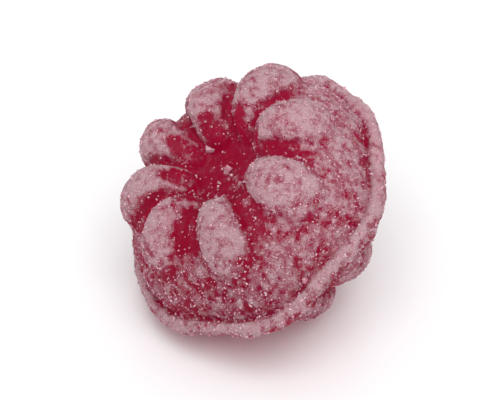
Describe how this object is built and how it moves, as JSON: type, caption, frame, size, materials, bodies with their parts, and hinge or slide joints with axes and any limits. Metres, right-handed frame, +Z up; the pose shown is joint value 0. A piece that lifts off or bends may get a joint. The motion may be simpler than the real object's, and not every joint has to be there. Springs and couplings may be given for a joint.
{
  "type": "raspberry-shaped boiled sweet",
  "caption": "Raspberry-shaped boiled sweet dusted with sugar: a drop with round drupelets below a raised seam, and fat lobes round a hollow above it.",
  "frame": {"origin": "centre of the bounding box, on the plane that the sweet rests on", "axes": "+Z up; the view azimuth 0 looks along +Y at the crown, which leans towards -X"},
  "size_m": [0.0176, 0.0204, 0.0166],
  "materials": {
    "boiled_sugar": "dark raspberry red boiled sugar, slightly translucent, under a matt pale pink dusting of fine sugar that is thin in the valleys and the hollow"
  },
  "bodies": {
    "root": {"raspberry_sweet": "boiled_sugar"}
  },
  "joints": []
}
